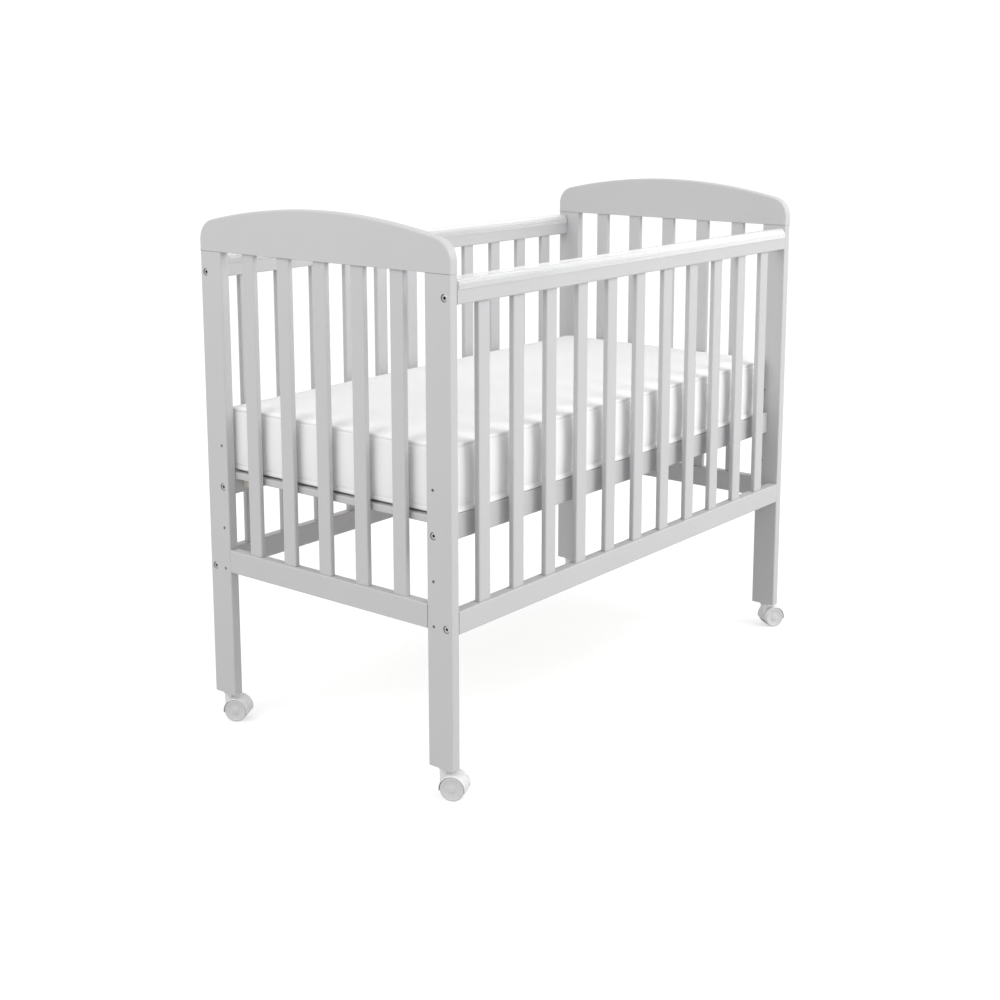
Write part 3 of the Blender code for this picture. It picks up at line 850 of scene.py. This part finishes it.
def swell(obj, low, high):
    """Fills the cloth by pressure, with its underside and seams held, and returns how it moved."""
    start = coords_of(obj.data)
    held = obj.vertex_groups.new(name="held")
    on_seam = seam_weight(start, low, high, SEAM_REACH) > SEAM_HELD
    on_floor = start[:, 2] < low.z + START_LIFT + FLOOR_HELD
    held.add(np.nonzero(on_seam | on_floor)[0].tolist(), 1.0, "REPLACE")
    cloth = obj.modifiers.new("fill", "CLOTH")
    settings = cloth.settings
    settings.quality = 5
    settings.mass = 0.3
    settings.tension_stiffness = 15
    settings.compression_stiffness = 15
    settings.shear_stiffness = 5
    settings.bending_stiffness = 0.5
    settings.use_pressure = True
    settings.uniform_pressure_force = PRESSURE
    settings.effector_weights.gravity = 0
    settings.vertex_group_mass = "held"
    cloth.collision_settings.use_collision = False
    cloth.point_cache.frame_start = 1
    cloth.point_cache.frame_end = FRAMES
    scene = bpy.context.scene
    for step in range(1, FRAMES + 1):
        scene.frame_set(step)
    graph = bpy.context.evaluated_depsgraph_get()
    end = coords_of(obj.evaluated_get(graph).data)
    scene.frame_set(1)
    return end - start


def share_past(values, edge, zone):
    """0 to 1 as values come nearer to an edge than the zone's start, over the zone's width."""
    start, width = zone
    return np.clip((values - (edge - start)) / width, 0, 1)


def capped(move, low, high, points):
    """The same movement, softly limited to the most that each face may swell."""
    centre = np.array((low + high) / 2)
    near_top = share_past(points[:, 2], high.z, PUFF_ZONE)[:, None]
    side = np.array([PUFF.x, PUFF.y, SIDE_RISE])
    most = near_top * np.array(PUFF) + (1 - near_top) * side
    outwards = np.sign(points - centre)
    outwards[:, 2] = 1.0
    move = np.where(move * outwards > 0, move, move * SINK_SHARE)
    return most * np.tanh(move / most)


def carried(points, cloth, move):
    """The cloth's movement, read at other points by weighing its nearest vertices."""
    tree = kdtree.KDTree(len(cloth))
    for index, point in enumerate(cloth):
        tree.insert(point, index)
    tree.balance()
    found = np.empty((len(points), 3))
    for index, point in enumerate(points):
        near = tree.find_n(point, NEIGHBOURS)
        weights = np.array([1.0 / (away + NEIGHBOUR_BLUR) for _, _, away in near])
        found[index] = (move[[spot for _, spot, _ in near]] * weights[:, None]).sum(0) / weights.sum()
    return found


def swollen(points, low, high):
    """How far the filled cover stands from its start at each of these points, from the cloth simulation.
    """
    cloth = start_shape(low, high)
    start = coords_of(cloth.data)
    move = swell(cloth, low, high)
    bpy.data.objects.remove(cloth, do_unlink=True)
    return carried(points, start, move)


def unevenness(points):
    """Slow hills, 60 to 150 mm across, mostly between -1 and 1."""
    made = np.empty(len(points))
    for index, point in enumerate(points):
        broad = noise.noise(Vector(point) * BROAD_HILLS)
        fine = noise.noise(Vector(point) * FINE_HILLS + FINE_HILLS_AT)
        made[index] = broad + FINE_SHARE * fine
    return made


def drooped(points, low, high):
    """Lets the foot of each long side sag outwards and down over the edge of the base rail."""
    points = points.copy()
    centre_y = (low.y + high.y) / 2
    across = points[:, 1] - centre_y
    near_foot = np.clip(1 - (points[:, 2] - low.z) / LIP_H, 0, 1)
    near_foot = near_foot * near_foot * (3 - 2 * near_foot)
    half = (high.y - low.y) / 2
    outside = share_past(np.abs(across), half, LIP_ZONE)
    points[:, 1] += np.sign(across) * near_foot * outside * LIP_OUT
    over = share_past(np.abs(points[:, 1] - centre_y), half, DROOP_ZONE)
    points[:, 2] -= near_foot * over * LIP_DOWN
    return points


def add_mattress(fabric, piping):
    low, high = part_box("mattress")
    rings = [plan_ring(low, high, inwards, z) for inwards, z in cover_levels(low, high)]
    obj = add_piece("mattress_cover", loft(rings), fabric, sharp=0)
    points = coords_of(obj.data)
    points = points + capped(swollen(points, low, high), low, high, points)
    flat_top = share_past(points[:, 2], high.z, HILL_ZONE)
    points[:, 2] += unevenness(points) * flat_top * HILL_H
    side = 1 - seam_weight(points, low, high, SEAM_CALM)
    hills = unevenness(points * SIDE_HILL_SCALE)
    points[:, 1] += hills * side * (1 - flat_top) * SIDE_HILL_H
    set_coords(obj.data, drooped(points, low, high))
    finish_piece(obj, "mattress", ["mattress"])
    add_seam_cords(low, high, piping)


def add_seam_cords(low, high, material):
    """The sewn edges of the cover, seen as a thin cord in each valley."""
    seams = {
        "top": (high.z - SEAM_FROM_TOP, SEAM_DEPTH),
        "bottom": (low.z + SEAM_FROM_BOTTOM, SEAM_DEPTH * LOW_SEAM_SHARE),
    }
    turns = np.linspace(0, math.tau, CORD_SIDES, endpoint=False)
    for key, (z, depth) in seams.items():
        path = plan_ring(low, high, depth - CORD_R, z + SEAM_PEAK * SEAM_HALF_W)
        ahead = np.roll(path, -1, axis=0) - np.roll(path, 1, axis=0)
        ahead /= np.linalg.norm(ahead, axis=1, keepdims=True)
        out = np.column_stack([ahead[:, 1], -ahead[:, 0], np.zeros(len(path))])
        up = np.array([0.0, 0.0, 1.0])
        hoops = [path + CORD_R * (math.cos(turn) * out + math.sin(turn) * up) for turn in turns]
        rings = np.stack(hoops, axis=1)
        bm = loft([*rings, rings[0]], capped=False)
        bmesh.ops.remove_doubles(bm, verts=bm.verts, dist=WELD)
        cord = add_piece(f"mattress_{key}_seam", bm, material)
        finish_piece(cord, "mattress")


# Carried-over CAD nodes


def repaint(node, material):
    for material_slot in frame["nodes"][node].material_slots:
        material_slot.material = material


def dress_frame(paints, wood):
    """Gives each wooden node paint whose grain runs along it, and the cross slats bare wood."""
    for node in frame["nodes"]:
        if node == "base_slats":
            repaint(node, wood)
            continue
        low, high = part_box(node)
        size = high - low
        repaint(node, paints[max(range(3), key=lambda axis: size[axis])])


# Stage


def add_floor(name, tone, glow):
    """A plain pale floor."""
    bm = bmesh.new()
    bmesh.ops.create_grid(bm, x_segments=1, y_segments=1, size=FLOOR_SIZE)
    shader = Shader(name, (tone,) * 3, Roughness=0.9, Specular_IOR_Level=0.1)
    shader.principled.inputs["Emission Color"].default_value = (1.0, 1.0, 1.0, 1.0)
    shader.principled.inputs["Emission Strength"].default_value = glow
    floor = add_piece(name, bm, shader.material)
    return floor


def add_studio_floor():
    """One floor is seen, and keeps only faint shadows. The other, unseen, is what lights from below."""
    seen = add_floor("floor", FLOOR_TONE, FLOOR_GLOW)
    seen.visible_diffuse = False
    seen.visible_glossy = False
    seen.visible_shadow = False
    unseen = add_floor("floor_bounce", BOUNCE, 0.0)
    unseen.location.z = UNSEEN_FLOOR_Z
    unseen.visible_camera = False


def add_world(light, backdrop):
    """A white backdrop that lights the object less than it shows."""
    world = bpy.data.worlds.new("studio")
    world.use_nodes = True
    tree = world.node_tree
    strength = tree.nodes.new("ShaderNodeMapRange")
    strength.inputs["To Min"].default_value = light
    strength.inputs["To Max"].default_value = backdrop
    ray = tree.nodes.new("ShaderNodeLightPath")
    tree.links.new(ray.outputs["Is Camera Ray"], strength.inputs["Value"])
    background = tree.nodes["Background"]
    background.inputs["Color"].default_value = (1.0, 1.0, 1.0, 1.0)
    tree.links.new(strength.outputs["Result"], background.inputs["Strength"])
    bpy.context.scene.world = world


def add_softbox(name, place, target, size, power):
    light = bpy.data.lights.new(name, "AREA")
    light.shape = "SQUARE"
    light.size = size
    light.energy = power
    obj = bpy.data.objects.new(name, light)
    obj.location = place
    aim = Vector(target) - Vector(place)
    obj.rotation_euler = aim.to_track_quat("-Z", "Y").to_euler()
    bpy.context.scene.collection.objects.link(obj)


def add_camera():
    """The photograph's viewing angle, with its frame shifted moderately downwards."""
    data = bpy.data.cameras.new("camera")
    data.sensor_fit = "HORIZONTAL"
    data.sensor_width = SENSOR_W
    data.lens = LENS_PER_SENSOR_W * SENSOR_W
    data.shift_x, data.shift_y = SHIFT
    camera = bpy.data.objects.new("camera", data)
    bpy.context.scene.collection.objects.link(camera)
    turn = Matrix.Rotation(math.radians(CAMERA_YAW - 90), 4, "Z")
    tilt = Matrix.Rotation(math.radians(90 - CAMERA_PITCH), 4, "X")
    roll = Matrix.Rotation(math.radians(CAMERA_ROLL), 4, "Z")
    camera.matrix_world = Matrix.Translation(CAMERA_AT) @ turn @ tilt @ roll
    bpy.context.scene.camera = camera


def main():
    bpy.context.scene.view_settings.view_transform = "Standard"
    paints = [paint_material(f"grey_lacquer_{letter}", axis) for axis, letter in enumerate("xyz")]
    cap_plastic = clear_material("teething_plastic")
    hood_plastic = plastic_material("castor_plastic", (0.74, 0.74, 0.74), 0.2)
    wheel_plastic = plastic_material("wheel_plastic", (0.62, 0.62, 0.62), 0.1)
    cover = fabric_material("knit_cover", (0.855, 0.855, 0.855))
    piping = fabric_material("seam_tape", (0.84, 0.84, 0.84))
    dress_frame(paints, pine_material())
    for end in ("left", "right"):
        add_arched_board(end, paints[1])
    for side in ("front", "rear"):
        add_teething_cap(side, cap_plastic)
    add_bolt_heads(zinc_material(), socket_shade_material())
    for end in ("left", "right"):
        for side in ("front", "rear"):
            add_castor(f"{side}_{end}", hood_plastic, wheel_plastic)
    add_mattress(cover, piping)
    add_studio_floor()
    add_world(WORLD_LIGHT, BACKDROP)
    add_softbox("key", **KEY)
    add_softbox("side", **SIDE)
    add_camera()


main()
